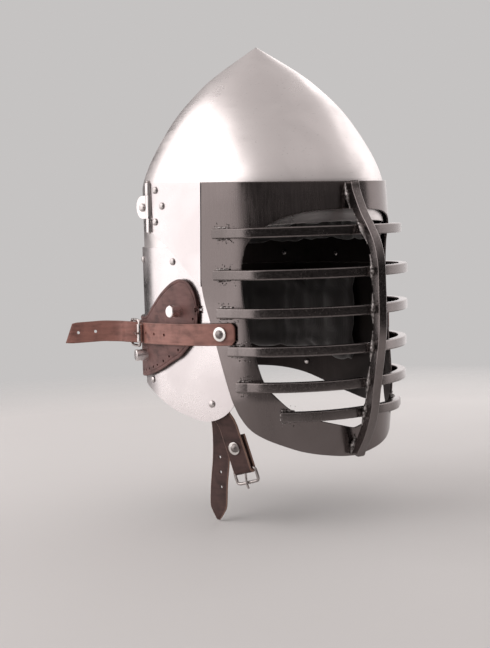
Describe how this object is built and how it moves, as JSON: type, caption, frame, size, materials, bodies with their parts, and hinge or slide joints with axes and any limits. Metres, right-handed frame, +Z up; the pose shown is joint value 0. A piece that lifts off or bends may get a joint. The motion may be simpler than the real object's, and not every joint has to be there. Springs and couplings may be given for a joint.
{
  "type": "knight helmet with barred visor",
  "caption": "Pointed steel helmet with a barred visor that lifts on side pivots, neck guard, leather straps, buckles and quilted lining.",
  "frame": {"origin": "where the crown of the wearer's head meets the underside of the crown lining", "axes": "+Z up; the face looks along -Y; +X is the wearer's left"},
  "size_m": [0.2978, 0.2905, 0.4409],
  "materials": {
    "polished_steel": "polished spring steel with fine brushing and light scratches",
    "dark_steel": "dark satin steel",
    "bar_steel": "dark satin steel with ground welds",
    "buckle_steel": "oiled wire",
    "rivet_steel": "domed bright steel",
    "zinc": "bright plated washer and rivet",
    "strap_leather": "red-brown smooth leather with dark edges",
    "band_leather": "dark red-brown leather",
    "chin_leather": "dark brown leather",
    "liner_cloth": "dark quilted cotton"
  },
  "bodies": {
    "helmet": {"aventail_band": "band_leather", "chape_L": "strap_leather", "chape_R": "strap_leather", "chape_rivet_L": "rivet_steel", "chape_rivet_R": "rivet_steel", "edge_rivet_front_L": "rivet_steel", "edge_rivet_front_R": "rivet_steel", "edge_rivet_rear_L": "rivet_steel", "edge_rivet_rear_R": "rivet_steel", "guard_rivet_mid_L": "rivet_steel", "guard_rivet_mid_R": "rivet_steel", "guard_rivet_rear_L": "rivet_steel", "guard_rivet_rear_R": "rivet_steel", "liner_crown": "liner_cloth", "liner_neck": "liner_cloth", "neck_guard": "polished_steel", "pivot_rivet_L": "rivet_steel", "pivot_rivet_R": "rivet_steel", "skull": "polished_steel", "vervelle_1_L": "polished_steel", "vervelle_1_R": "polished_steel", "vervelle_2_L": "polished_steel", "vervelle_2_R": "polished_steel"},
    "visor": {"bar_1": "bar_steel", "bar_2": "bar_steel", "bar_3": "bar_steel", "bar_4": "bar_steel", "bar_5": "bar_steel", "bar_6": "bar_steel", "face_post": "bar_steel", "hinge_front_L": "polished_steel", "hinge_front_R": "polished_steel", "hinge_rear_L": "polished_steel", "hinge_rear_R": "polished_steel", "hinge_rivet_1_L": "rivet_steel", "hinge_rivet_1_R": "rivet_steel", "hinge_rivet_2_L": "rivet_steel", "hinge_rivet_2_R": "rivet_steel", "hinge_rivet_3_L": "rivet_steel", "hinge_rivet_3_R": "rivet_steel", "strap_rivet_L": "zinc", "strap_rivet_R": "zinc", "visor_arm_L": "polished_steel", "visor_arm_R": "polished_steel", "visor_mask": "dark_steel", "visor_strap_L": "strap_leather", "visor_strap_R": "strap_leather"},
    "pin_R": {"hinge_pin_R": "buckle_steel"},
    "pin_L": {"hinge_pin_L": "buckle_steel"},
    "buckle_R": {"buckle_frame_R": "buckle_steel"},
    "buckle_L": {"buckle_frame_L": "buckle_steel"},
    "roller_R": {"buckle_roller_R": "buckle_steel"},
    "roller_L": {"buckle_roller_L": "buckle_steel"},
    "prong_R": {"buckle_prong_R": "buckle_steel"},
    "prong_L": {"buckle_prong_L": "buckle_steel"},
    "chin_buckle_end": {"chin_strap_buckle_end": "chin_leather", "chin_rivet": "zinc"},
    "chin_tongue": {"chin_strap_tongue": "chin_leather"},
    "chin_buckle": {"buckle_frame_chin": "buckle_steel"},
    "chin_prong": {"buckle_prong_chin": "buckle_steel"}
  },
  "joints": [
    {"name": "visor_lift", "type": "hinge", "parent": "helmet", "child": "visor", "pos_m": [0, 0.053, -0.113], "axis": [-1, 0, 0], "range_deg": [0, 70], "deforming": ["visor_strap_R", "visor_strap_L"]},
    {"name": "pin_pull_R", "type": "slide", "parent": "visor", "child": "pin_R", "axis": [0, 0, 1], "range_m": [0, 0.052]},
    {"name": "pin_pull_L", "type": "slide", "parent": "visor", "child": "pin_L", "axis": [0, 0, 1], "range_m": [0, 0.052]},
    {"name": "buckle_swing_R", "type": "hinge", "parent": "helmet", "child": "buckle_R", "pos_m": [-0.10097, 0.08457, -0.2323], "axis": [0, 0, -1], "range_deg": [0, 40]},
    {"name": "buckle_swing_L", "type": "hinge", "parent": "helmet", "child": "buckle_L", "pos_m": [0.10097, 0.08457, -0.2323], "axis": [0, 0, 1], "range_deg": [0, 40]},
    {"name": "prong_lift_R", "type": "hinge", "parent": "buckle_R", "child": "prong_R", "pos_m": [-0.10097, 0.08457, -0.2323], "axis": [0, 0, -1], "range_deg": [0, 80]},
    {"name": "prong_lift_L", "type": "hinge", "parent": "buckle_L", "child": "prong_L", "pos_m": [0.10097, 0.08457, -0.2323], "axis": [0, 0, 1], "range_deg": [0, 80]},
    {"name": "roller_spin_R", "type": "hinge", "parent": "buckle_R", "child": "roller_R", "pos_m": [-0.10697, 0.06341, -0.2323], "axis": [0, 0, 1], "continuous": true},
    {"name": "roller_spin_L", "type": "hinge", "parent": "buckle_L", "child": "roller_L", "pos_m": [0.10697, 0.06341, -0.2323], "axis": [0, 0, 1], "continuous": true},
    {"name": "chin_buckle_end_swing", "type": "hinge", "parent": "helmet", "child": "chin_buckle_end", "pos_m": [-0.09744, -0.03651, -0.293], "axis": [-0.9742, -0.2256, 0], "range_deg": [-1.5, 4]},
    {"name": "chin_tongue_swing", "type": "hinge", "parent": "helmet", "child": "chin_tongue", "pos_m": [-0.09413, -0.03574, -0.293], "axis": [-0.9742, -0.2256, 0], "range_deg": [-4, 1.5]},
    {"name": "chin_buckle_swing", "type": "hinge", "parent": "chin_buckle_end", "child": "chin_buckle", "pos_m": [-0.08073, -0.05532, -0.35331], "axis": [-0.1622, 0.9182, -0.3614], "range_deg": [-12, 14]},
    {"name": "chin_prong_lift", "type": "hinge", "parent": "chin_buckle", "child": "chin_prong", "pos_m": [-0.08073, -0.05532, -0.35331], "axis": [-0.1622, 0.9182, -0.3614], "range_deg": [0, 60]}
  ]
}
